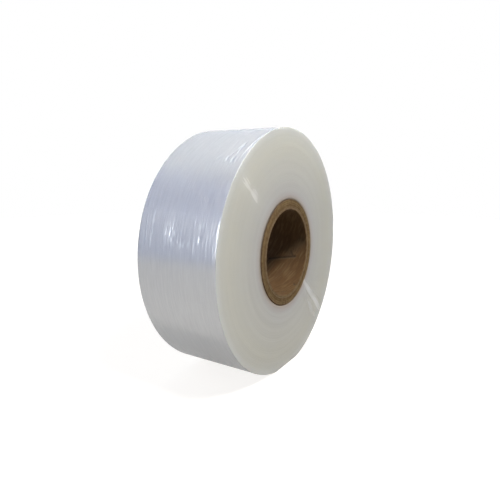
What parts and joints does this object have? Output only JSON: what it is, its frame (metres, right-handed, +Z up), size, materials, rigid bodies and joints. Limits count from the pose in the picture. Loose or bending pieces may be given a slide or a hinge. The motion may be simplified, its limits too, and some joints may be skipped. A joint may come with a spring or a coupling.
{
  "type": "stretch wrap roll",
  "caption": "Narrow roll of clear stretch wrap wound on a paperboard core, lying on its round side, with a through bore for a mandrel.",
  "frame": {"origin": "on the floor under the middle of the roll, at the centre of the flat spot it lies on", "axes": "+Z up; the core's axis runs along Y; the end face seen in the picture looks along -Y"},
  "size_m": [0.215, 0.0762, 0.2131],
  "materials": {
    "film": "clear polyethylene film, wound tight: milky and translucent on the end faces, glossy on the round side",
    "board": "brown kraft paperboard, spirally wound, matte"
  },
  "bodies": {
    "root": {"film_roll": "film", "cardboard_core": "board"}
  },
  "joints": []
}
